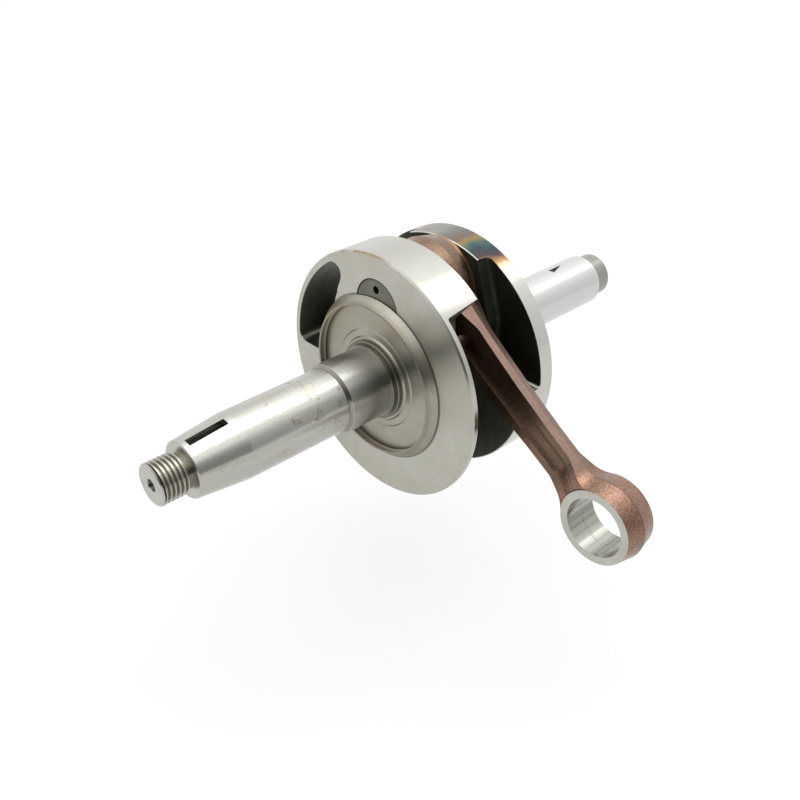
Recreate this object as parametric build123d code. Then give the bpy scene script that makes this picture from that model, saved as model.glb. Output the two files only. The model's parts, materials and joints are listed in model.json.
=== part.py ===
from build123d import *
import os
from math import cos, radians, sin

# Built-up crankshaft of a small single-cylinder engine, in millimetres.
# The crank axis is Y, the crankpin stands straight up at +Z and the
# connecting rod points towards +X and down. The origin is on the crank
# axis in the middle plane of the rod.

# ---- driving dimensions ----
THROW = 27.0            # half of the 54 mm stroke
PIN_R = 10.0            # crankpin
BIG_BORE_R = 13.0       # rod big-end bore, outer race of the rollers
SMALL_BORE_R = 10.5     # rod small-end bore
ROD_LENGTH = 99.0       # between bore centres
ROD_DROP = 32.9         # degrees the rod points below +X at rest
BIG_EYE_R = 17.5        # widest, at the parting plane
BIG_EYE_HALF = 5.2      # half of the eye's width
SMALL_EYE_R = 14.6
SMALL_EYE_HALF = 6.8
BEAM_HALF = 2.5         # half of the beam's width
FORGING_DRAFT = 10.8    # degrees
CHANNEL_R = 5.3         # round channel on each side of the beam
CHANNEL_WEB_HALF = 1.1  # half of the web left between the channels
CHANNEL_START_X = 26.0
CHANNEL_BEND_X = 76.0   # where the channel starts to climb out
CHANNEL_CLIMB = 26.0    # degrees
CHANNEL_OUT = 22.0      # length of the climbing stretch

CHEEK_Y = 6.8           # web faces beside the big end, each side of the rod
BALANCE_Y = 3.3         # raised inner faces of the balance weights

FRONT_R = 45.2          # drive-side web
FRONT_OUTER_Y = -24.05
FRONT_FLANGE = 2.25     # thin outer flange left by the forged cut
WEB_CHAMFER = 0.6       # on the drive-side web's outer edge
FRONT_HUB_R = 14.2      # boss that the oil slinger sits round
REAR_R = 43.05          # plain-side web
REAR_OUTER_Y = 18.3
REAR_FLANGE_Y = 11.9    # floor of the rear pockets
REAR_CHAMFER = 0.5      # on both edges of the plain-side web
RIM_CHAMFER = 0.3       # along its rim over the pin
REAR_HUB_R = 13.4       # boss at the root of the short shaft

SEAT_R = 12.5           # main bearing seat
SEAT_START_Y = -28.9
SEAT_END_Y = -45.3
SHAFT_R = 11.4          # drive shaft outside the bearing
CONE_START_Y = -84.4    # 1:5 cone
CONE_END_Y = -102.8
THREAD_R = 7.0          # M14 x 1.5
THREAD_PITCH = 1.5
RELIEF_R = 5.9          # undercut between cone and thread
THREAD_START_Y = -104.2
THREAD_END_Y = -113.6
KEY_WIDTH = 3.0
KEY_START_Y = -86.8     # keyway in the cone
KEY_END_Y = -100.7
KEY_FLOOR_Z = 8.2

PLAIN_R = 10.0          # plain-side shaft
PLAIN_STEP_Y = 90.6
PLAIN_STUB_R = 8.5
PLAIN_END_Y = 98.5
NICK_Y = 73.3           # three-sided nick on top of the short shaft
NICK_DEPTH = 1.7

ROLLERS = 14
ROLLER_R = 1.485
ROLLER_LENGTH = 8.0
ROLLER_PITCH_R = (PIN_R + BIG_BORE_R) / 2
CAGE_HALF = 5.1         # half of the cage's width
CAGE_OUTER_R = 12.55
CAGE_INNER_R = 10.45
WASHER_R = 16.3
SIDE_GAP = 0.1          # free play each side of a thrust washer

SLINGER_R = 29.9        # thin dish on the drive-side web
SLINGER_SHEET = 0.8
SLINGER_HEIGHT = 3.35

PIN_CENTRE = Location((0, 0, THROW))


def web_plane(y):
    """Plane across the crank axis with local x = X and local y = Z."""
    return Plane(origin=(0, y, 0), x_dir=(1, 0, 0), z_dir=(0, -1, 0))


def slab(sketch, y_low, y_high, taper=0):
    """Solid between two stations; a taper narrows it towards y_low."""
    return extrude(web_plane(y_high) * sketch, y_high - y_low, taper=taper)


def slab_up(sketch, y_low, y_high, taper=0):
    """Solid between two stations; a taper narrows it towards y_high."""
    return extrude(web_plane(y_low) * sketch, -(y_high - y_low), taper=taper)


def round_end(tool, y, radius):
    """Round the edges of a cutting tool where it ends, at station y."""
    edges = tool.edges().filter_by(lambda edge: abs(edge.center().Y - y) < 0.01)
    edges = edges.filter_by(lambda edge: abs(edge.bounding_box().size.Y) < 0.01)
    return fillet(edges, radius)


def disc(radius, y_low, y_high, x=0, z=0):
    return slab(Pos(x, z) * Circle(radius), y_low, y_high)


def turned(points):
    """Solid turned about the crank axis from (radius, y) points."""
    return revolve(make_face(Polyline(*points, close=True)), Axis.Y)


def polar(radius, degrees):
    return radius * cos(radians(degrees)), radius * sin(radians(degrees))


def outline(points, corner):
    """Closed sketch through the points with every corner rounded."""
    face = Sketch() + make_face(Polyline(*points, close=True))
    return fillet(face.vertices(), corner)


def rod_pose(shape):
    """Move a rod drawn along +X from the origin to its place on the pin."""
    return PIN_CENTRE * Rot(0, ROD_DROP, 0) * shape


# ---- crank webs ----
def open_pocket(side):
    """Outline of a pocket beside the pin that breaks out through the rim."""
    top_x, top_z = polar(REAR_R, 69.5)
    points = [
        (18.0, 31.0),
        (top_x, top_z),
        (top_x + 40, top_z + 16),
        (70, -0.8),
        (22.0, -0.8),
        (22.0, 19.0),
    ]
    return outline([(side * x, z) for x, z in points], 2.4)


def front_cut():
    """Large cut in the right half of the drive-side web, open at the rim."""
    rim_top = polar(66, 49.9)
    rim_bottom = polar(66, -62)
    points = [
        rim_top,
        (19.6, 24.0),
        (21.5, 8.0),
        (19.5, -9.0),
        polar(21.5, -62),
        rim_bottom,
        (90, -20),
        (90, 20),
    ]
    return outline(points, 2.4)


def kidney():
    """Slot on the left of the drive-side web, closed by a narrow rim."""
    area = make_face(Polyline(
        (-60, -2.0),
        (-60, 36.0),
        (-18.0, 36.0),
        (-18.0, 31.6),
        (-22.4, 19.0),
        (-22.4, -2.0),
        close=True,
    ))
    area = (Sketch() + area) & Circle(42.8)
    area -= Circle(21.5)
    return fillet(area.vertices(), 3.6)


def thread_profile():
    """(radius, y) points along the roots and crests of the shaft-end thread."""
    depth = 0.6 * THREAD_PITCH
    crest_half = 0.08 * THREAD_PITCH
    root_half = 0.1 * THREAD_PITCH
    turns = int((THREAD_START_Y - THREAD_END_Y) / THREAD_PITCH)
    points = []
    for turn in range(turns):
        crest = THREAD_START_Y - (turn + 0.5) * THREAD_PITCH
        root = crest - THREAD_PITCH / 2
        points += [
            (THREAD_R, crest + crest_half),
            (THREAD_R, crest - crest_half),
            (THREAD_R - depth, root + root_half),
            (THREAD_R - depth, root - root_half),
        ]
    return points


def front_half():
    """Drive-side web forged in one with the tapered and threaded shaft."""
    web = turned([
        (0, -CHEEK_Y),
        (FRONT_R, -CHEEK_Y),
        (FRONT_R, FRONT_OUTER_Y + WEB_CHAMFER),
        (FRONT_R - WEB_CHAMFER, FRONT_OUTER_Y),
        (0, FRONT_OUTER_Y),
    ])
    flange_y = FRONT_OUTER_Y + FRONT_FLANGE
    web -= round_end(slab(front_cut(), flange_y, -CHEEK_Y, taper=7), flange_y, 0.9)
    middle = (FRONT_OUTER_Y - CHEEK_Y) / 2
    web -= slab(kidney(), middle, -CHEEK_Y, taper=3)
    web -= slab_up(kidney(), FRONT_OUTER_Y, middle, taper=3)

    cone_end_r = SHAFT_R - (CONE_START_Y - CONE_END_Y) / 10
    shaft = turned([
        (0, FRONT_OUTER_Y + 1),
        (FRONT_HUB_R, FRONT_OUTER_Y + 1),
        (FRONT_HUB_R, SEAT_START_Y + 2.0),
        (FRONT_HUB_R - 0.3, SEAT_START_Y + 1.7),
        (SEAT_R + 0.8, SEAT_START_Y + 1.7),
        (SEAT_R + 0.8, SEAT_START_Y + 0.3),
        (SEAT_R + 0.5, SEAT_START_Y),
        (SEAT_R, SEAT_START_Y),
        (SEAT_R, SEAT_END_Y),
        (SHAFT_R + 0.1, SEAT_END_Y - 1.0),
        (SHAFT_R, SEAT_END_Y - 1.0),
        (SHAFT_R, CONE_START_Y),
        (cone_end_r, CONE_END_Y + 0.4),
        (cone_end_r - 0.4, CONE_END_Y),
        (RELIEF_R, CONE_END_Y),
        (RELIEF_R, THREAD_START_Y),
        *thread_profile(),
        (THREAD_R, THREAD_END_Y + 0.4),
        (THREAD_R - 0.4, THREAD_END_Y),
        (0, THREAD_END_Y),
    ])
    half = web + shaft

    # keyway along the top of the cone, centre drilling in the end
    key_height = 4.4
    keyway = Box(KEY_WIDTH, KEY_START_Y - KEY_END_Y, key_height)
    keyway = Pos(0.6, (KEY_START_Y + KEY_END_Y) / 2, KEY_FLOOR_Z + key_height / 2) * keyway
    half -= Rot(0, 3, 0) * keyway
    half -= turned([
        (0, THREAD_END_Y),
        (2.2, THREAD_END_Y),
        (1.15, THREAD_END_Y + 1.8),
        (1.15, THREAD_END_Y + 5.0),
        (0, THREAD_END_Y + 5.0),
    ])
    return half - disc(PIN_R, FRONT_OUTER_Y - 1, 0, z=THROW)


def on_upper_rim(edge):
    """Whether an edge runs along the plain-side rim beside the rod's big end."""
    middle = edge @ 0.5
    level = abs(middle.Y - CHEEK_Y) < 0.01 and edge.bounding_box().size.Y < 0.01
    return level and abs(Vector(middle.X, middle.Z).length - REAR_R) < 0.02


def rear_half():
    """Plain-side web forged in one with the short shaft."""
    web = turned([
        (0, BALANCE_Y),
        (REAR_R - REAR_CHAMFER, BALANCE_Y),
        (REAR_R, BALANCE_Y + REAR_CHAMFER),
        (REAR_R, REAR_OUTER_Y - REAR_CHAMFER),
        (REAR_R - REAR_CHAMFER, REAR_OUTER_Y),
        (0, REAR_OUTER_Y),
    ])
    web -= slab(Pos(0, 30) * Rectangle(100, 60.4), BALANCE_Y, CHEEK_Y)
    for side in (1, -1):
        pocket = slab_up(open_pocket(side), CHEEK_Y - 4, REAR_FLANGE_Y, taper=6)
        web -= round_end(pocket, REAR_FLANGE_Y, 1.8)
    web = chamfer(web.edges().filter_by(on_upper_rim), RIM_CHAMFER)

    shaft = turned([
        (0, REAR_OUTER_Y - 1),
        (REAR_HUB_R, REAR_OUTER_Y - 1),
        (REAR_HUB_R, REAR_OUTER_Y + 1.2),
        (REAR_HUB_R - 0.8, REAR_OUTER_Y + 2.0),
        (PLAIN_R + 0.6, REAR_OUTER_Y + 2.0),
        (PLAIN_R, REAR_OUTER_Y + 2.6),
        (PLAIN_R, PLAIN_STEP_Y - 1.3),
        (PLAIN_STUB_R, PLAIN_STEP_Y),
        (PLAIN_STUB_R, PLAIN_END_Y - 1.2),
        (PLAIN_STUB_R - 1.2, PLAIN_END_Y),
        (0, PLAIN_END_Y),
    ])
    half = web + shaft
    nick = make_face(Polyline((-1.4, -4.1), (-1.4, 4.1), (1.3, -3.6), close=True))
    half -= Pos(0, NICK_Y, PLAIN_R - NICK_DEPTH) * extrude(nick, 2 * NICK_DEPTH)
    half -= turned([
        (0, PLAIN_END_Y),
        (2.6, PLAIN_END_Y),
        (1.5, PLAIN_END_Y - 1.9),
        (1.5, PLAIN_END_Y - 5.0),
        (0, PLAIN_END_Y - 5.0),
    ])
    return half - disc(PIN_R, 0, REAR_OUTER_Y + 1, z=THROW)


def crankpin():
    """Pressed-in pin with an off-centre oil gallery and a cross drilling."""
    front = FRONT_OUTER_Y + 0.15
    rear = REAR_OUTER_Y - 0.15
    pin = revolve(
        make_face(Polyline(
            (0, front),
            (PIN_R - 0.4, front),
            (PIN_R, front + 0.4),
            (PIN_R, rear - 0.4),
            (PIN_R - 0.4, rear),
            (0, rear),
            close=True,
        )),
        Axis.Y,
    )
    pin = PIN_CENTRE * pin
    gallery = disc(1.4, front - 1, 1.2, x=-0.4, z=THROW + 6.1)
    cross = Pos(-0.4, 0, THROW + 8.4) * Cylinder(1.2, 4.6)
    return pin - gallery - cross


def oil_slinger():
    """Pressed sheet dish that guides oil from the bearing into the pin."""
    floor = FRONT_OUTER_Y
    sheet = SLINGER_SHEET
    bore = FRONT_HUB_R + 0.05
    return turned([
        (bore, floor),
        (SLINGER_R, floor),
        (SLINGER_R, floor - 0.35),
        (SLINGER_R - 2.2, floor - SLINGER_HEIGHT + 0.1),
        (SLINGER_R - 2.55, floor - SLINGER_HEIGHT),
        (SLINGER_R - 2.9, floor - SLINGER_HEIGHT + 0.15),
        (SLINGER_R - 1.6, floor - 1.5),
        (SLINGER_R - 2.9, floor - sheet),
        (18.2, floor - sheet),
        (17.7, floor - sheet - 0.4),
        (15.6, floor - sheet - 0.4),
        (15.0, floor - sheet - 1.1),
        (bore, floor - sheet - 1.1),
    ])


# ---- big-end bearing ----
def thrust_washer(side):
    """Flat ring between the rod's big end and one web."""
    low = BIG_EYE_HALF + SIDE_GAP
    high = CHEEK_Y - SIDE_GAP
    ring = disc(WASHER_R, low, high, z=THROW) - disc(PIN_R + 0.05, low - 1, high + 1, z=THROW)
    if side < 0:
        ring = mirror(ring, Plane.XZ)
    return ring


def roller_angle(index):
    return 90 + index * 360 / ROLLERS


def roller(index):
    x, z = polar(ROLLER_PITCH_R, roller_angle(index))
    body = disc(ROLLER_R, -ROLLER_LENGTH / 2, ROLLER_LENGTH / 2, x=x, z=THROW + z)
    return chamfer(body.edges().filter_by(GeomType.CIRCLE), 0.25)


def roller_cage():
    """Ring with one window per roller."""
    ring = disc(CAGE_OUTER_R, -CAGE_HALF, CAGE_HALF, z=THROW)
    ring -= disc(CAGE_INNER_R, -CAGE_HALF - 1, CAGE_HALF + 1, z=THROW)
    window = Box(8.0, ROLLER_LENGTH + 0.2, 2 * ROLLER_R + 0.1)
    for index in range(ROLLERS):
        ring -= PIN_CENTRE * Rot(0, -roller_angle(index), 0) * Pos(ROLLER_PITCH_R, 0, 0) * window
    return ring


# ---- connecting rod ----
def rod_side_outline():
    """Side view of the rod: two eyes joined by a tapering beam."""
    upper = [(0, 13.0), (30, 9.4), (48, 7.9), (66, 7.1), (ROD_LENGTH, 6.7)]
    lower = [(x, -z) for x, z in reversed(upper)]
    shape = Circle(BIG_EYE_R) + Pos(ROD_LENGTH, 0) * Circle(SMALL_EYE_R)
    shape += make_face(Polyline(*upper, *lower, close=True))
    beside_big_eye = [v for v in shape.vertices() if 8 < v.X < 20]
    shape = fillet(beside_big_eye, 14)
    beside_small_eye = [v for v in shape.vertices() if 80 < v.X < 92]
    return fillet(beside_small_eye, 7)


def rod_top_outline():
    """Thickness of the rod: wide at the eyes and slim along the beam."""
    big = BIG_EYE_HALF
    slim = BEAM_HALF
    small = SMALL_EYE_HALF
    upper = [(-20, big), (16, big), (25.5, slim), (77, slim), (88.5, small), (116, small)]
    lower = [(x, -y) for x, y in reversed(upper)]
    face = Sketch() + make_face(Polyline(*upper, *lower, close=True))
    bends = [v for v in face.vertices() if 10 < v.X < 95]
    return fillet(bends, 8)


def beam_channel(side_of_beam):
    """Round channel along the beam that climbs out beside the small eye."""
    run = CHANNEL_BEND_X - CHANNEL_START_X
    bar = Rot(0, 90, 0) * Cylinder(CHANNEL_R, run)
    climb = Rot(0, 0, side_of_beam * CHANNEL_CLIMB) * Pos(CHANNEL_OUT / 2, 0, 0) * Rot(0, 90, 0)
    channel = Pos(-run / 2, 0, 0) * bar + Pos(-run, 0, 0) * Sphere(CHANNEL_R) + Sphere(CHANNEL_R)
    channel += climb * Cylinder(CHANNEL_R, CHANNEL_OUT)
    return Pos(CHANNEL_BEND_X, side_of_beam * (CHANNEL_WEB_HALF + CHANNEL_R), 0) * channel


def connecting_rod():
    """Forged I-beam rod with a parting ridge round its middle plane."""
    side = rod_side_outline()
    reach = SMALL_EYE_HALF + 0.7
    forging = slab(side, -reach, 0, taper=FORGING_DRAFT) + slab_up(side, 0, reach, taper=FORGING_DRAFT)
    forging &= extrude(rod_top_outline(), 40, both=True)
    for side_of_beam in (1, -1):
        forging -= beam_channel(side_of_beam)

    boss = Pos(ROD_LENGTH, 0) * Circle(SMALL_EYE_R)
    forging += slab(boss, -SMALL_EYE_HALF, 0, taper=FORGING_DRAFT)
    forging += slab_up(boss, 0, SMALL_EYE_HALF, taper=FORGING_DRAFT)

    forging -= disc(BIG_BORE_R, -10, 10)
    forging -= disc(SMALL_BORE_R, -10, 10, x=ROD_LENGTH)
    return rod_pose(forging)


# ---- write one file per node ----
pieces = {
    "front_crank_half": front_half(),
    "rear_crank_half": rear_half(),
    "crankpin": crankpin(),
    "oil_slinger": oil_slinger(),
    "connecting_rod": connecting_rod(),
    "roller_cage": roller_cage(),
    "thrust_washer_front": thrust_washer(-1),
    "thrust_washer_rear": thrust_washer(1),
}
for number in range(ROLLERS):
    pieces[f"roller_{number + 1:02d}"] = roller(number)

os.makedirs("parts", exist_ok=True)
for name, piece in pieces.items():
    export_step(piece, f"parts/{name}.step")
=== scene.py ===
import json
from math import cos, radians, sin

import bpy
from mathutils import Matrix, Vector


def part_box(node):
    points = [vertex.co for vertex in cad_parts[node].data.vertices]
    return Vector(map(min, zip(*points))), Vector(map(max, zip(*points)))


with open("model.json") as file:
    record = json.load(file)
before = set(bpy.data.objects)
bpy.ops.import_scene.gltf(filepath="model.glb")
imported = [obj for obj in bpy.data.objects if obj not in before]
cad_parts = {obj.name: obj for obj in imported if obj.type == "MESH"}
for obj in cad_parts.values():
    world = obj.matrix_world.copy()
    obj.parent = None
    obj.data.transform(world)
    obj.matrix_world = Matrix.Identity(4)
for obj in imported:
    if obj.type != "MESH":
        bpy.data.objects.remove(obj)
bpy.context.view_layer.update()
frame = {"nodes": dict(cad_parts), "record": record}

# ---- sizes from the frame ----
MM = 0.001
front_low, front_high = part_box("front_crank_half")
rear_low, rear_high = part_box("rear_crank_half")
pin_low, pin_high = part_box("crankpin")
slinger_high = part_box("oil_slinger")[1]
rod_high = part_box("connecting_rod")[1]
MOUNTS = {mount["name"]: mount for mount in frame["record"]["mounts"]}

FRONT_R = front_high.x                  # drive-side web
REAR_R = rear_high.x                    # plain-side web
SLINGER_R = slinger_high.x
WEB_FACE_Y = slinger_high.y             # outer face of the drive-side web
THROW = (pin_low.z + pin_high.z) / 2
SMALL_EYE = Vector(MOUNTS["small_end_bore"]["pos_m"])
SMALL_BORE_R = MOUNTS["small_end_bore"]["dims"]["r_mm"] * MM
ROD_LENGTH = (SMALL_EYE - Vector((0, 0, THROW))).length
ROD_LINE = (SMALL_EYE - Vector((0, 0, THROW))) / ROD_LENGTH
SEAT = MOUNTS["main_bearing_seat"]
SEAT_Y = SEAT["pos_m"][1]
SEAT_R = SEAT["dims"]["r_mm"] * MM
SEAT_HALF = SEAT["dims"]["length_mm"] * MM / 2
SEAT_END_Y = SEAT_Y - SEAT_HALF         # where the long shaft steps down
CONE_Y = MOUNTS["flywheel_cone"]["pos_m"][1]

# ---- sizes that the frame doesn't name ----
HUB_R = 14.3 * MM                       # boss inside the slinger
SHAFT_R = 11.4 * MM                     # long shaft outside the bearing seat
GROUND_R = 12.65 * MM                   # anything thinner than this is ground
THREAD_ROOT_R = 6.75 * MM
END_HOLE_R = 2.1 * MM
KEY_X, KEY_HALF = 0.6 * MM, 1.75 * MM
KEY_Y = (-101 * MM, -86.5 * MM)
KEY_Z = (7.9 * MM, 9.1 * MM)
CHEEK_Y = 6.8 * MM                      # web faces each side of the rod
POCKET_FLOOR_Y = 11.9 * MM              # pockets of the plain-side web
WEB_REAR_Y = 18.3 * MM                  # outer face of the plain-side web
STUB_LENGTH = 7.9 * MM                  # thinner end of the short shaft
PIN_RIM_R = 9.2 * MM
SLINGER_CORNER = (26.2 * MM, 28.4 * MM)
SMALL_EYE_R = 14.6 * MM
BEAM_HALF = 6.7 * MM                    # half height of the beam at the small eye
BEAM_SPREAD = 6.3 * MM                  # what it gains on its way to the pin
CHANNEL_Y = 2.35 * MM                   # channels lie nearer the middle than this

# ---- camera: close, from the drive end, above and to the right ----
CAMERA_AZIMUTH = radians(46.315)        # 0 looks along +Y
CAMERA_ELEVATION = radians(32.736)
CAMERA_ROLL = radians(0.327)
CAMERA_PLACE = Vector((0.21272, -0.21626, 0.17477))
SENSOR = 36.0                           # sensor and lens are in millimetres
LENS = 43.62

# ---- studio: white tent, brightest overhead, dim where its front is open ----
OPEN_AZIMUTH = radians(45)
TENT_TOP = 1.9
TENT_SIDES = [(0.0, 1.20), (0.5, 1.05), (0.585, 0.70), (0.75, 0.36), (0.92, 0.10), (1.0, 0.08)]
TENT_CLIMB = [(0.0, 0.0), (0.40, 0.03), (0.62, 0.25), (0.74, 0.75), (1.0, 1.0)]
PAPER = 1.0                             # backdrop that the camera sees
SOFTBOXES = [                           # name, place, size, power
    ("top_softbox", (-0.05, 0.1, 0.8), (0.7, 0.5), 2.0),
    ("back_softbox", (0.12, 0.50, 0.72), (0.30, 0.42), 0.65),
]
FLOOR_HALF = 4.0
FLOOR_Z = THROW - ROD_LENGTH - SMALL_EYE_R - 2 * MM    # clears the rod when it hangs down
FLOOR_SHADE = 0.18
FLOOR_GLOW = 0.74                       # light that the floor gives off itself

# ---- colours, linear ----
TURNED = (0.50, 0.49, 0.435)            # turned steel
TURNED_DULL = (0.44, 0.43, 0.37)
TURNED_SPECK = (0.33, 0.32, 0.27)
GROUND = (0.47, 0.465, 0.43)            # ground steel of the drive side
GROUND_PALE = (0.54, 0.535, 0.50)       # ground steel of the plain side
TOOL_LINE = (0.30, 0.29, 0.25)
# painted shade for the webs' inner faces, pockets and cut walls
GREY_INSIDE_SHADE = (0.11, 0.11, 0.09)
BLACK_INSIDE_SHADE = (0.042, 0.045, 0.034)
STRAW = (0.50, 0.41, 0.22)
STAIN_EDGE = (0.16, 0.125, 0.045)
SMEAR = (0.27, 0.25, 0.19)
# painted shade on the hub collar
HUB_SHADE = (0.15, 0.145, 0.115)
# oil and painted contact shadow
GROOVE_OIL_AND_SHADE = (0.06, 0.058, 0.045)
# painted shade on the shoulder
SHOULDER_SHADE = (0.21, 0.20, 0.165)
THREAD_BROWN = (0.19, 0.165, 0.115)
# painted shade in the end drilling
END_HOLE_SHADE = (0.08, 0.08, 0.07)
# painted shade in the keyway
KEYWAY_SHADE = (0.10, 0.10, 0.09)
RUST = (0.26, 0.17, 0.07)
SHORT_SHAFT = (0.60, 0.60, 0.60)
STUB_GREY = (0.22, 0.22, 0.195)
# painted highlight on the rim's edge
RIM_EDGE_HIGHLIGHT = (0.62, 0.62, 0.57)
# last: painted shade towards the pin's edge
PIN_DARK, PIN_PALE, PIN_EDGE_SHADE = (0.135, 0.133, 0.105), (0.19, 0.185, 0.15), (0.10, 0.098, 0.08)
SHEET, SHEET_DULL, SHEET_OIL = (0.36, 0.35, 0.30), (0.30, 0.29, 0.24), (0.20, 0.17, 0.12)
COPPER, COPPER_DULL = (0.255, 0.122, 0.072), (0.175, 0.094, 0.058)
COPPER_GRAIN, COPPER_PIT = (0.50, 0.36, 0.31), (0.095, 0.058, 0.042)
# painted sheen for the beam's edges, painted shade for its sides
COPPER_EDGE_SHEEN, COPPER_SIDE_SHADE = (0.185, 0.138, 0.120), (0.080, 0.062, 0.034)
FLASH = (0.070, 0.040, 0.028)
EYE_FACE, EYE_FACE_DULL = (0.50, 0.49, 0.45), (0.44, 0.43, 0.39)
# bore steel, and painted reflection bands in the bore
EYE_BORE, EYE_BORE_REFLECTION = (0.36, 0.355, 0.32), (0.17, 0.165, 0.14)
ROLLER, BRONZE, CAGE = (0.76, 0.76, 0.75), (0.34, 0.21, 0.10), (0.60, 0.58, 0.52)
TINT = [                                # oxide colours by heat, cool to hot
    (0.00, (0.45, 0.44, 0.39)),
    (0.13, (0.46, 0.41, 0.29)),
    (0.22, (0.24, 0.13, 0.045)),
    (0.31, (0.040, 0.026, 0.030)),
    (0.40, (0.018, 0.034, 0.058)),
    (0.50, (0.045, 0.100, 0.080)),
    (0.60, (0.260, 0.175, 0.050)),
    (0.70, (0.150, 0.100, 0.080)),
    (0.84, (0.150, 0.140, 0.125)),
    (1.00, (0.240, 0.235, 0.215)),
]
TINT_CENTRE = radians(97)               # over the pin, from +X towards +Z
TINT_REACH = radians(42)
GRAIN_TURN = 0.25                       # gloss is roughest across the tool lines


def link(obj):
    bpy.context.scene.collection.objects.link(obj)
    return obj


def grey(value):
    return value, value, value, 1


def colour_ramp(tree, value, stops):
    """Colour of a value, from (place, colour) stops."""
    node = tree.nodes.new("ShaderNodeValToRGB")
    tree.links.new(value, node.inputs[0])
    elements = node.color_ramp.elements
    while len(elements) < len(stops):
        elements.new(0.5)
    for element, (place, colour) in zip(elements, stops):
        element.position = place
        element.color = (*colour, 1)
    return node.outputs["Color"]


def add_camera():
    back = Vector((
        sin(CAMERA_AZIMUTH) * cos(CAMERA_ELEVATION),
        -cos(CAMERA_AZIMUTH) * cos(CAMERA_ELEVATION),
        sin(CAMERA_ELEVATION),
    ))
    level = Vector((cos(CAMERA_AZIMUTH), sin(CAMERA_AZIMUTH), 0))
    upright = back.cross(level)
    right = level * cos(CAMERA_ROLL) + upright * sin(CAMERA_ROLL)
    up = upright * cos(CAMERA_ROLL) - level * sin(CAMERA_ROLL)
    data = bpy.data.cameras.new("camera")
    data.sensor_width = SENSOR
    data.lens = LENS
    data.clip_start = 0.01
    camera = link(bpy.data.objects.new("camera", data))
    turn = Matrix((right, up, back)).transposed().to_4x4()
    camera.matrix_world = Matrix.Translation(CAMERA_PLACE) @ turn
    bpy.context.scene.camera = camera


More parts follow.
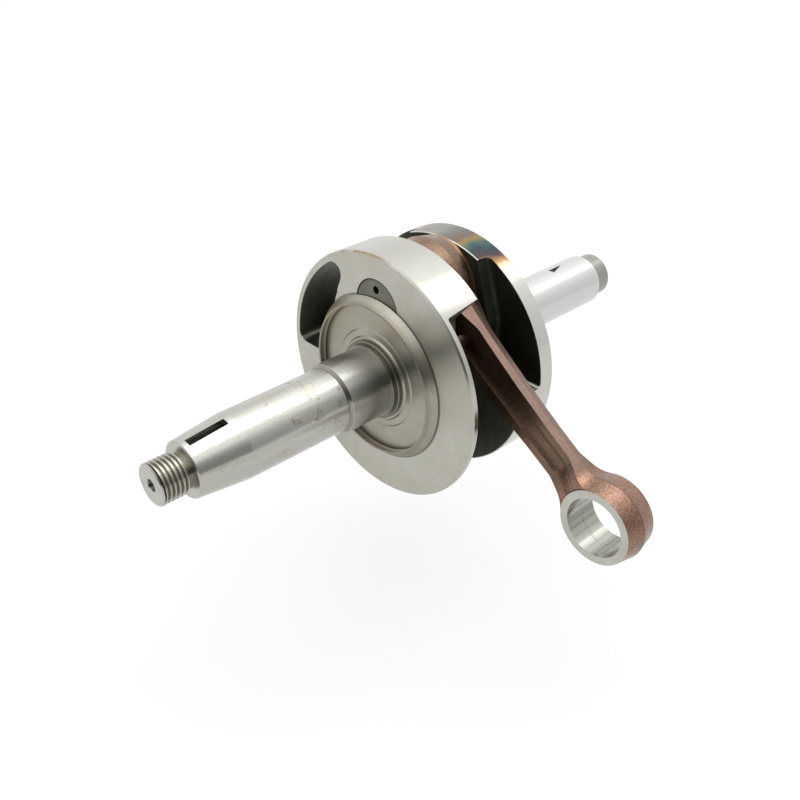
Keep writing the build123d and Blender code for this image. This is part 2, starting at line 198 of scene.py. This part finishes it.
# ---- shader building ----
class Paint:
    """A metal on one Principled shader, built from object coordinates."""

    def __init__(self, name, anisotropic=0.0):
        self.material = bpy.data.materials.new(name)
        self.material.use_nodes = True
        self.tree = self.material.node_tree
        self.shader = self.tree.nodes["Principled BSDF"]
        self.shader.inputs["Metallic"].default_value = 1.0
        self.shader.inputs["Anisotropic"].default_value = anisotropic
        self.shader.inputs["Anisotropic Rotation"].default_value = GRAIN_TURN
        self.point = self.add("ShaderNodeTexCoord").outputs["Object"]
        split = self.add("ShaderNodeSeparateXYZ", self.point)
        self.x, self.y, self.z = split.outputs
        self.height = None

    def add(self, kind, *inputs, **settings):
        node = self.tree.nodes.new(kind)
        for key, setting in settings.items():
            setattr(node, key, setting)
        for socket, value in zip(node.inputs, inputs):
            self.put(socket, value)
        return node

    def put(self, socket, value):
        if isinstance(value, bpy.types.NodeSocket):
            self.tree.links.new(value, socket)
        elif value is not None:
            socket.default_value = value

    def math(self, operation, first, second=None):
        return self.add("ShaderNodeMath", first, second, operation=operation).outputs[0]

    def plus(self, first, second):
        return self.math("ADD", first, second)

    def minus(self, first, second):
        return self.math("SUBTRACT", first, second)

    def times(self, first, second):
        return self.math("MULTIPLY", first, second)

    def size(self, value):
        return self.math("ABSOLUTE", value)

    def length(self, first, second):
        """Length of the right-angled pair of values."""
        return self.math("SQRT", self.plus(self.times(first, first), self.times(second, second)))

    def above(self, value, edge, soft):
        """Mask: 0 below the edge and 1 above it, over a soft width each way."""
        node = self.add("ShaderNodeMapRange", interpolation_type="SMOOTHSTEP")
        spans = (("Value", value), ("From Min", edge - soft), ("From Max", edge + soft))
        for name, given in spans:
            self.put(node.inputs[name], given)
        return node.outputs["Result"]

    def below(self, value, edge, soft):
        return self.minus(1.0, self.above(value, edge, soft))

    def band(self, value, low, high, soft):
        return self.times(self.above(value, low, soft), self.below(value, high, soft))

    def where(self, *masks):
        """Mask of the places that are in every given mask."""
        shared = masks[0]
        for mask in masks[1:]:
            shared = self.times(shared, mask)
        return shared

    def scaled(self, x, y, z):
        """Object coordinates stretched by the three factors."""
        node = self.add("ShaderNodeVectorMath", self.point, (x, y, z), operation="MULTIPLY")
        return node.outputs[0]

    def joined(self, x, y, z):
        return self.add("ShaderNodeCombineXYZ", x, y, z).outputs[0]

    def noise(self, scale, detail=3.0, roughness=0.5, vector=None):
        node = self.add("ShaderNodeTexNoise", noise_dimensions="3D")
        self.put(node.inputs["Vector"], vector or self.point)
        for name, given in (("Scale", scale), ("Detail", detail), ("Roughness", roughness)):
            self.put(node.inputs[name], given)
        return node.outputs["Fac"]

    def swing(self, noise, amount):
        """Noise centred on zero, as a change of this amount."""
        return self.times(self.minus(noise, 0.5), amount)

    def mix(self, share, first, second):
        """Colour between first and second."""
        node = self.add("ShaderNodeMix", data_type="RGBA")
        for key, given in (("Factor", share), (6, first), (7, second)):
            self.put(node.inputs[key], (*given, 1) if isinstance(given, tuple) else given)
        return node.outputs[2]

    def cover(self, base, mask, share, colour):
        """Lay a share of the colour over the base inside the mask."""
        return self.mix(self.times(mask, share), base, colour)

    def blend(self, share, first, second):
        """Number between first and second."""
        node = self.add("ShaderNodeMix", data_type="FLOAT")
        for key, given in (("Factor", share), (2, first), (3, second)):
            self.put(node.inputs[key], given)
        return node.outputs[0]

    def relief(self, height, depth):
        """Add a bump whose height of 1 stands this many metres proud."""
        part = self.times(height, depth)
        self.height = part if self.height is None else self.plus(self.height, part)

    def radial_grain(self):
        """Grain follows circles round the crank axis."""
        tangent = self.add("ShaderNodeTangent", direction_type="RADIAL", axis="Y")
        self.tree.links.new(tangent.outputs[0], self.shader.inputs["Tangent"])

    def done(self, colour, roughness):
        self.put(self.shader.inputs["Base Color"], colour)
        self.put(self.shader.inputs["Roughness"], roughness)
        bump = self.add("ShaderNodeBump")
        self.put(bump.inputs["Height"], self.height)
        bump.inputs["Strength"].default_value = 1.0
        bump.inputs["Distance"].default_value = 1.0
        self.tree.links.new(bump.outputs["Normal"], self.shader.inputs["Normal"])
        return self.material


def turned_lines(paint, across, pitch):
    """Uneven tool lines: noise that changes only along one measure."""
    along = paint.joined(across, 0.0, 0.0)
    return paint.noise(1.0 / pitch, detail=2.0, roughness=0.7, vector=along)


def angle(paint):
    """Angle round the crank axis, from +X towards +Z."""
    return paint.math("ARCTAN2", paint.z, paint.x)


# ---- crank halves ----
def crank_steel(name, web_r, inside_y, inside_shade, shine):
    """Turned faces, ground rim and shaft, and painted shade on the insides between two stations.
    """
    paint = Paint(name, anisotropic=0.75)
    paint.radial_grain()
    radius = paint.length(paint.x, paint.z)
    soft = 0.15 * MM
    rim = paint.above(radius, web_r - 0.35 * MM, soft)
    shaft = paint.below(radius, GROUND_R, 0.08 * MM)
    inside = paint.where(paint.band(paint.y, *inside_y, soft), paint.minus(1.0, rim))

    cloud = paint.noise(38.0, detail=4.0, roughness=0.6)
    fine = paint.noise(2600.0, detail=2.0, roughness=0.6)
    polished = paint.math("MAXIMUM", rim, shaft)
    rings = turned_lines(paint, radius, 0.12 * MM)
    lines = turned_lines(paint, paint.y, 0.12 * MM)
    grain = paint.blend(polished, rings, lines)

    base = paint.mix(paint.above(cloud, 0.52, 0.16), TURNED, TURNED_DULL)
    base = paint.cover(base, paint.above(fine, 0.55, 0.10), 0.30, TURNED_SPECK)
    base = paint.mix(polished, base, shine)
    base = paint.cover(base, paint.where(paint.above(fine, 0.56, 0.08), shaft), 0.35, TOOL_LINE)
    base = paint.cover(base, paint.above(grain, 0.52, 0.15), 0.16, TOOL_LINE)
    # painted shade on the insides between the webs, mottled with paler streaks
    streak = paint.noise(1.0, detail=4.0, roughness=0.6, vector=paint.scaled(260.0, 260.0, 90.0))
    pale_inside_shade = tuple(1.45 * part for part in inside_shade)
    base = paint.mix(inside, base, paint.mix(paint.above(streak, 0.55, 0.18), inside_shade, pale_inside_shade))

    smooth = paint.blend(polished, 0.33, 0.22)
    smooth = paint.plus(smooth, paint.swing(grain, 0.14))
    smooth = paint.plus(smooth, paint.swing(cloud, 0.16))
    smooth = paint.blend(inside, smooth, 0.45)
    paint.relief(grain, 0.007 * MM)
    paint.relief(fine, 0.004 * MM)
    return paint, base, smooth, radius


def oil_and_shade_marks(paint, base, smooth, radius):
    """Painted shade on the hub and shoulder, oil and painted contact shadow in the slinger's
    groove, stains and smears on the shaft.
    """
    # painted shade on the hub collar beside the slinger
    hub = paint.where(
        paint.above(radius, SEAT_R + 0.15 * MM, 0.05 * MM),
        paint.below(radius, HUB_R, 0.1 * MM),
        paint.below(paint.y, WEB_FACE_Y - 0.6 * MM, 0.2 * MM),
    )
    base = paint.cover(base, hub, 0.85, HUB_SHADE)
    # oil and painted contact shadow along the foot of the slinger
    groove = paint.where(
        paint.band(radius, SLINGER_R, SLINGER_R + 0.55 * MM, 0.25 * MM),
        paint.band(paint.y, WEB_FACE_Y - 0.1 * MM, WEB_FACE_Y + 0.1 * MM, 0.1 * MM),
    )
    base = paint.cover(base, groove, 0.75, GROOVE_OIL_AND_SHADE)

    # dried oil: a straw patch inside a thin dark outline, faint on the web's face
    cloud = paint.noise(165.0, detail=2.0, roughness=0.4)
    edge = 0.63
    body = paint.above(cloud, edge, 0.008)
    outline = paint.band(cloud, edge - 0.006, edge + 0.008, 0.004)
    reach = paint.band(paint.y, SEAT_Y - 36 * MM, SEAT_Y - 7 * MM, 5 * MM)
    reach = paint.plus(reach, paint.times(paint.above(paint.y, WEB_FACE_Y - MM, 0.5 * MM), 0.22))
    base = paint.cover(base, paint.where(body, reach), 0.16, STRAW)
    base = paint.cover(base, paint.where(outline, reach), 0.50, STAIN_EDGE)
    smooth = paint.plus(smooth, paint.times(paint.where(body, reach), 0.08))

    # painted shade where the shaft steps down outside the bearing seat
    shoulder = paint.band(paint.y, SEAT_END_Y - 1.3 * MM, SEAT_END_Y - 0.1 * MM, 0.15 * MM)
    base = paint.cover(base, shoulder, 0.75, SHOULDER_SHADE)

    # long faint smears along the shaft
    smear = paint.noise(1.0, detail=4.0, roughness=0.65, vector=paint.scaled(420.0, 45.0, 420.0))
    smear = paint.where(
        paint.above(smear, 0.56, 0.06),
        paint.below(radius, SHAFT_R + 0.1 * MM, 0.1 * MM),
    )
    base = paint.cover(base, smear, 0.14, SMEAR)
    return base, paint.plus(smooth, paint.times(smear, 0.05))


def dark_recesses(paint, base, radius):
    """Brown thread bottoms, painted shade in the end drilling and in the keyway."""
    root = paint.where(
        paint.below(radius, THREAD_ROOT_R, 0.25 * MM),
        paint.band(paint.y, front_low.y + 0.5 * MM, CONE_Y - 9.3 * MM, 0.2 * MM),
    )
    base = paint.cover(base, root, 0.6, THREAD_BROWN)
    # painted shade in the end drilling
    hole = paint.where(
        paint.below(radius, END_HOLE_R, 0.15 * MM),
        paint.below(paint.y, CONE_Y - 12 * MM, MM),
    )
    base = paint.mix(hole, base, END_HOLE_SHADE)
    # painted shade in the keyway
    key = paint.where(
        paint.below(paint.size(paint.minus(paint.x, KEY_X)), KEY_HALF, 0.05 * MM),
        paint.band(paint.y, *KEY_Y, 0.05 * MM),
        paint.band(paint.z, *KEY_Z, 0.05 * MM),
    )
    return paint.cover(base, key, 0.85, KEYWAY_SHADE)


def edge_rust(paint, base, radius):
    """A little rust along the top of the web's outer edge."""
    edge = paint.where(
        paint.above(radius, FRONT_R - 0.7 * MM, 0.3 * MM),
        paint.band(paint.y, WEB_FACE_Y - 0.1 * MM, WEB_FACE_Y + 0.7 * MM, 0.3 * MM),
        paint.band(angle(paint), radians(84), radians(122), radians(6)),
        paint.above(paint.noise(220.0), 0.46, 0.10),
    )
    return paint.cover(base, edge, 0.7, RUST)


def drive_side_steel():
    inside_y = (WEB_FACE_Y + 0.3 * MM, front_high.y + MM)
    paint, base, smooth, radius = crank_steel(
        "drive_side_steel", FRONT_R, inside_y, GREY_INSIDE_SHADE, GROUND)
    seat = paint.where(
        paint.band(paint.y, SEAT_END_Y, SEAT_Y + SEAT_HALF, 0.1 * MM),
        paint.band(radius, SEAT_R - 0.4 * MM, SEAT_R + 0.1 * MM, 0.1 * MM),
    )
    smooth = paint.blend(seat, smooth, 0.25)
    base, smooth = oil_and_shade_marks(paint, base, smooth, radius)
    base = dark_recesses(paint, base, radius)
    return paint.done(edge_rust(paint, base, radius), smooth)


def heat_tint(paint, base, radius):
    """Oxide colours on the rim, hottest over the pin."""
    away = paint.size(paint.minus(angle(paint), TINT_CENTRE))
    wobble = paint.swing(paint.noise(75.0, detail=4.0, roughness=0.6), radians(16))
    heat = paint.minus(1.0, paint.math("DIVIDE", paint.plus(away, wobble), TINT_REACH))
    heat = paint.math("MAXIMUM", heat, 0.0)
    rim = paint.above(radius, REAR_R - 0.40 * MM, 0.1 * MM)
    tint = colour_ramp(paint.tree, heat, TINT)
    return paint.cover(base, paint.where(paint.above(heat, 0.06, 0.05), rim), 0.95, tint)


def plain_side_steel():
    inside_y = (rear_low.y - MM, WEB_REAR_Y - 0.5 * MM)
    paint, base, smooth, radius = crank_steel(
        "plain_side_steel", REAR_R, inside_y, BLACK_INSIDE_SHADE, GROUND_PALE)

    # the ledge at the bottom of each pocket gets turned steel instead of the painted shade
    ledge = paint.where(
        paint.band(paint.y, 5 * MM, POCKET_FLOOR_Y + 0.5 * MM, 0.3 * MM),
        paint.band(paint.z, -1.6 * MM, 0.4 * MM, 0.3 * MM),
    )
    base = paint.cover(base, ledge, 0.8, TURNED)

    # bright short shaft with a dull stub
    shaft = paint.where(
        paint.below(radius, GROUND_R, 0.1 * MM),
        paint.above(paint.y, WEB_REAR_Y, MM),
    )
    base = paint.cover(base, shaft, 0.8, SHORT_SHAFT)
    stub = paint.above(paint.y, rear_high.y - STUB_LENGTH, 0.2 * MM)
    base = paint.cover(base, stub, 0.80, STUB_GREY)
    base = heat_tint(paint, base, radius)

    # painted highlight along the edge of the rim over the pin
    edge_highlight = paint.where(
        paint.band(paint.y, CHEEK_Y - 0.1 * MM, CHEEK_Y + 0.28 * MM, 0.04 * MM),
        paint.band(radius, REAR_R - 0.31 * MM, REAR_R + 0.02 * MM, 0.03 * MM),
        paint.above(paint.z, 0.0, MM),
    )
    return paint.done(paint.cover(base, edge_highlight, 0.9, RIM_EDGE_HIGHLIGHT), paint.blend(edge_highlight, smooth, 0.30))


# ---- pin, slinger and bearing ----
def pin_steel():
    """Hardened pin: darker, with fine grinding circles, a dull skin and painted shade towards its
    edge.
    """
    paint = Paint("pin_steel", anisotropic=0.3)
    radius = paint.length(paint.x, paint.minus(paint.z, THROW))
    cloud = paint.noise(220.0, detail=4.0, roughness=0.6)
    base = paint.mix(paint.above(cloud, 0.5, 0.2), PIN_DARK, PIN_PALE)
    # painted shade towards the pin's edge
    base = paint.mix(paint.above(radius, PIN_RIM_R, 0.5 * MM), base, PIN_EDGE_SHADE)
    paint.relief(turned_lines(paint, radius, 0.09 * MM), 0.004 * MM)
    return paint.done(base, paint.plus(0.36, paint.swing(cloud, 0.3)))


def slinger_steel():
    """Pressed sheet with brown oil in its corner."""
    paint = Paint("slinger_steel", anisotropic=0.5)
    paint.radial_grain()
    radius = paint.length(paint.x, paint.z)
    rings = turned_lines(paint, radius, 0.14 * MM)
    cloud = paint.noise(70.0, detail=4.0, roughness=0.6)
    base = paint.mix(paint.above(cloud, 0.5, 0.2), SHEET, SHEET_DULL)
    base = paint.cover(base, paint.band(radius, *SLINGER_CORNER, 0.5 * MM), 0.5, SHEET_OIL)
    base = paint.cover(base, paint.above(cloud, 0.60, 0.05), 0.12, STRAW)
    smooth = paint.plus(0.33, paint.swing(cloud, 0.25))
    smooth = paint.plus(smooth, paint.swing(rings, 0.12))
    paint.relief(rings, 0.006 * MM)
    paint.relief(cloud, 0.03 * MM)
    return paint.done(base, smooth)


def bearing_metal(name, colour, roughness):
    """Even metal with fine lines along the crank axis."""
    paint = Paint(name)
    cloud = paint.noise(300.0)
    base = paint.mix(paint.above(cloud, 0.5, 0.25), colour, tuple(0.82 * part for part in colour))
    paint.relief(turned_lines(paint, paint.y, 0.06 * MM), 0.002 * MM)
    return paint.done(base, paint.plus(roughness, paint.swing(cloud, 0.2)))


# ---- connecting rod ----
def beam_edges(paint):
    """Mask of the beam's narrow upper and lower sides."""
    rise = paint.minus(paint.z, THROW)
    along = paint.plus(paint.times(paint.x, ROD_LINE.x), paint.times(rise, ROD_LINE.z))
    aside = paint.minus(paint.times(rise, ROD_LINE.x), paint.times(paint.x, ROD_LINE.z))
    rest = paint.math("MAXIMUM", paint.minus(1.0, paint.math("DIVIDE", along, ROD_LENGTH)), 0.0)
    half = paint.plus(BEAM_HALF, paint.times(paint.math("POWER", rest, 2.5), BEAM_SPREAD))
    edge = paint.above(paint.minus(paint.size(aside), half), -0.75 * MM, 0.15 * MM)
    return paint.where(edge, paint.band(along, 14 * MM, 82 * MM, 4 * MM))


def copper_plate(paint, grit, lean, from_eye):
    """Copper in clouds with grains and pits, painted sheen on the beam's edges, painted shade
    between them.
    """
    cloud = paint.noise(70.0, detail=4.0, roughness=0.6)
    base = paint.mix(paint.above(cloud, 0.5, 0.18), COPPER, COPPER_DULL)
    base = paint.cover(base, paint.above(grit, 0.55, 0.08), 0.40, COPPER_GRAIN)
    base = paint.cover(base, paint.below(grit, 0.44, 0.06), 0.30, COPPER_PIT)
    # painted sheen on the beam's narrow edges
    edge_sheen = beam_edges(paint)
    base = paint.cover(base, edge_sheen, 0.60, COPPER_EDGE_SHEEN)
    # painted shade on the beam's sides and channels away from the eye
    shaded_sides = paint.where(paint.minus(1.0, edge_sheen), paint.above(from_eye, 17 * MM, 3 * MM))
    base = paint.cover(base, shaded_sides, 0.45, COPPER_SIDE_SHADE)

    # flash line left round the eye where the dies met
    flash = paint.where(
        paint.below(lean, 0.30 * MM, 0.14 * MM),
        paint.below(from_eye, 15.2 * MM, 0.3 * MM),
    )
    paint.relief(flash, -0.05 * MM)
    return paint.cover(base, flash, 0.6, FLASH)


def eye_steel(paint, face):
    """Ground steel of the small eye, with painted reflection bands along its bore."""
    across = paint.minus(paint.x, SMALL_EYE.x)
    height = paint.minus(paint.z, SMALL_EYE.z)
    turn = paint.math("ARCTAN2", height, across)
    reflection_bands = paint.noise(2.6, roughness=0.6, vector=paint.joined(turn, 0.0, 0.0))
    reflection_bands = paint.where(paint.above(reflection_bands, 0.50, 0.05), paint.minus(1.0, face))
    steel = paint.mix(paint.above(paint.noise(120.0), 0.5, 0.2), EYE_FACE, EYE_FACE_DULL)
    steel = paint.mix(face, EYE_BORE, steel)
    return paint.cover(steel, reflection_bands, 0.65, EYE_BORE_REFLECTION)


def plated_forging():
    """Copper plate over a rough forging, ground through at the small eye."""
    paint = Paint("plated_forging")
    paint.shader.inputs["Coat Weight"].default_value = 0.35
    paint.shader.inputs["Coat Roughness"].default_value = 0.22
    grit = paint.noise(2100.0, roughness=0.65)
    dents = paint.noise(700.0, roughness=0.55)
    lean = paint.size(paint.y)
    from_eye = paint.length(paint.minus(paint.x, SMALL_EYE.x), paint.minus(paint.z, SMALL_EYE.z))
    bore = paint.below(from_eye, SMALL_BORE_R + 0.12 * MM, 0.03 * MM)
    face = paint.above(lean, rod_high.y - 0.04 * MM, 0.02 * MM)
    ground = paint.math("MAXIMUM", bore, face)
    rough = paint.minus(1.0, ground)

    base = copper_plate(paint, grit, lean, from_eye)
    base = paint.mix(ground, base, eye_steel(paint, face))
    smooth = paint.plus(0.35, paint.swing(grit, 0.5))
    smooth = paint.plus(smooth, paint.times(paint.below(lean, CHANNEL_Y, 0.25 * MM), 0.08))
    smooth = paint.blend(ground, smooth, 0.17)
    paint.relief(paint.where(grit, rough), 0.04 * MM)
    paint.relief(paint.where(dents, rough), 0.09 * MM)
    paint.relief(paint.where(turned_lines(paint, paint.y, 0.1 * MM), ground), 0.006 * MM)
    return paint.done(base, smooth)


def dress_all():
    """Give every node its material."""
    looks = {
        "front_crank_half": drive_side_steel(),
        "rear_crank_half": plain_side_steel(),
        "crankpin": pin_steel(),
        "oil_slinger": slinger_steel(),
        "connecting_rod": plated_forging(),
        "roller_cage": bearing_metal("cage_steel", CAGE, 0.34),
        "thrust_washer": bearing_metal("washer_bronze", BRONZE, 0.40),
        "roller": bearing_metal("roller_steel", ROLLER, 0.12),
    }
    for name, node in frame["nodes"].items():
        look = next(looks[start] for start in looks if name.startswith(start))
        for slot in node.material_slots:
            slot.material = look


# ---- studio ----
def add_floor():
    half = FLOOR_HALF
    corners = [(-half, -half), (half, -half), (half, half), (-half, half)]
    mesh = bpy.data.meshes.new("floor")
    mesh.from_pydata([(x, y, FLOOR_Z) for x, y in corners], [], [(0, 1, 2, 3)])
    floor = link(bpy.data.objects.new("floor", mesh))
    material = bpy.data.materials.new("floor_paper")
    material.use_nodes = True
    shader = material.node_tree.nodes["Principled BSDF"]
    shader.inputs["Base Color"].default_value = grey(FLOOR_SHADE)
    shader.inputs["Emission Color"].default_value = grey(1.0)
    shader.inputs["Emission Strength"].default_value = FLOOR_GLOW
    shader.inputs["Roughness"].default_value = 0.9
    shader.inputs["Specular IOR Level"].default_value = 0.1
    mesh.materials.append(material)


def level_ramp(tree, value, stops):
    """Grey of a value, from (place, level) stops."""
    return colour_ramp(tree, value, [(place, (level, level, level)) for place, level in stops])


def mix_to_grey(tree, share, first, level):
    node = tree.nodes.new("ShaderNodeMix")
    node.data_type = "RGBA"
    tree.links.new(share, node.inputs["Factor"])
    tree.links.new(first, node.inputs[6])
    node.inputs[7].default_value = grey(level)
    return node.outputs[2]


def add_tent():
    world = bpy.data.worlds.new("studio")
    world.use_nodes = True
    bpy.context.scene.world = world
    tree = world.node_tree
    direction = tree.nodes.new("ShaderNodeTexCoord").outputs["Generated"]
    split = tree.nodes.new("ShaderNodeSeparateXYZ")
    tree.links.new(direction, split.inputs[0])
    toward = tree.nodes.new("ShaderNodeVectorMath")
    toward.operation = "DOT_PRODUCT"
    tree.links.new(direction, toward.inputs[0])
    toward.inputs[1].default_value = (sin(OPEN_AZIMUTH), -cos(OPEN_AZIMUTH), 0)
    side = tree.nodes.new("ShaderNodeMapRange")
    side.inputs["From Min"].default_value = -1.0
    tree.links.new(toward.outputs["Value"], side.inputs["Value"])
    around = level_ramp(tree, side.outputs["Result"], TENT_SIDES)
    climb = level_ramp(tree, split.outputs["Z"], TENT_CLIMB)
    tent = mix_to_grey(tree, climb, around, TENT_TOP)

    # straight behind the object there is only plain pale paper
    seen = tree.nodes.new("ShaderNodeLightPath").outputs["Is Camera Ray"]
    tree.links.new(mix_to_grey(tree, seen, tent, PAPER), tree.nodes["Background"].inputs["Color"])


def add_softbox(name, place, size, power):
    """Soft lamp that points at the origin."""
    data = bpy.data.lights.new(name, "AREA")
    data.shape = "RECTANGLE"
    data.size, data.size_y = size
    data.energy = power
    lamp = link(bpy.data.objects.new(name, data))
    lamp.location = place
    lamp.rotation_euler = (-Vector(place)).to_track_quat("-Z", "Y").to_euler()


add_camera()
dress_all()
add_floor()
add_tent()
for softbox in SOFTBOXES:
    add_softbox(*softbox)
bpy.context.scene.view_settings.view_transform = "Standard"
